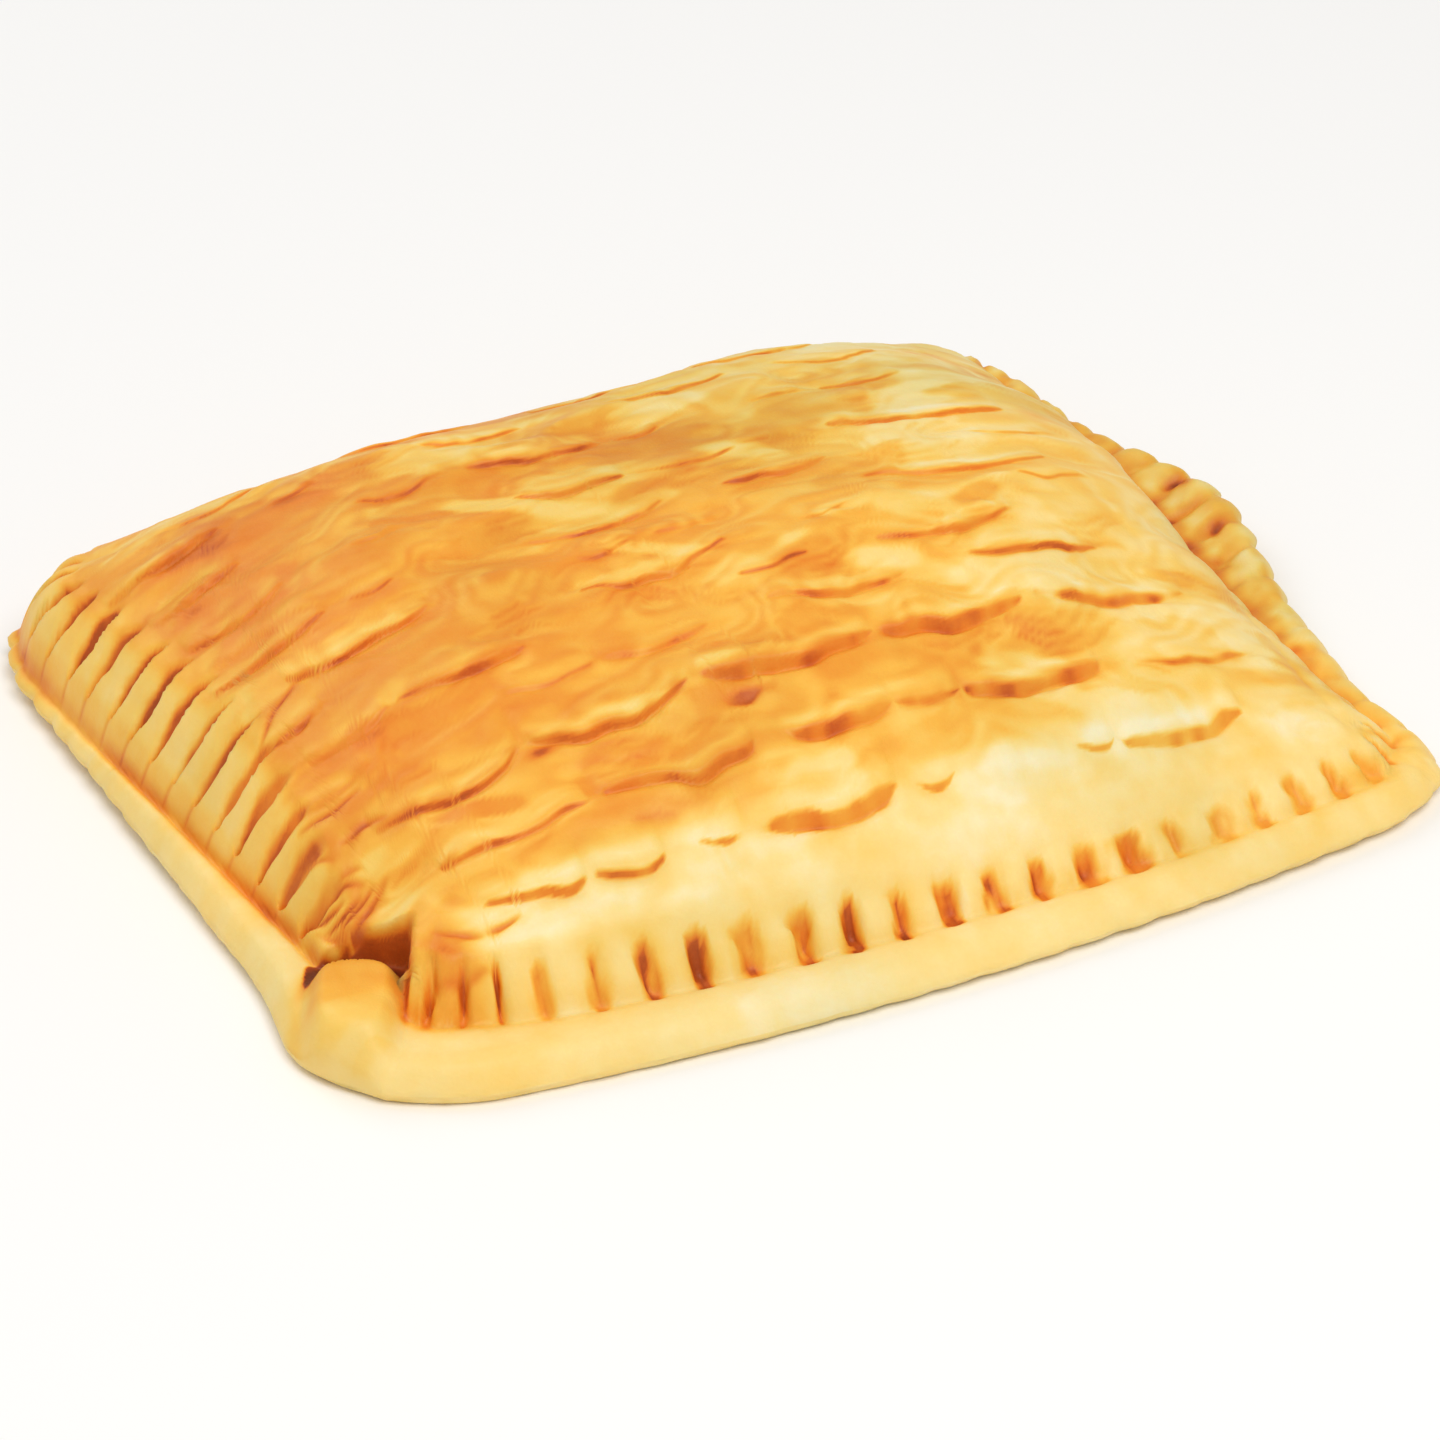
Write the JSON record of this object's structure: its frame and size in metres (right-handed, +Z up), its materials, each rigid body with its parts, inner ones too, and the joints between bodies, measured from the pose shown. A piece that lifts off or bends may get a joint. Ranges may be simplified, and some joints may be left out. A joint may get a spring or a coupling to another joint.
{
  "type": "puff pastry pie",
  "caption": "Rectangular baked puff pastry pie with a domed, slashed top, a crimped wall and a flat pastry flange round its foot, to rest on a plate or tray.",
  "frame": {"origin": "middle of the pie's foot, on the surface that it rests on, at the centre of its outline", "axes": "+X along the long front edge towards the right corner, +Y from the front edge to the back, +Z up through the domed top"},
  "size_m": [0.1514, 0.1228, 0.0286],
  "materials": {
    "crust": "golden baked pastry with an egg-washed soft gloss, paler on the flange and browner in the slashes and crimps"
  },
  "bodies": {
    "root": {"pie": "crust"}
  },
  "joints": []
}
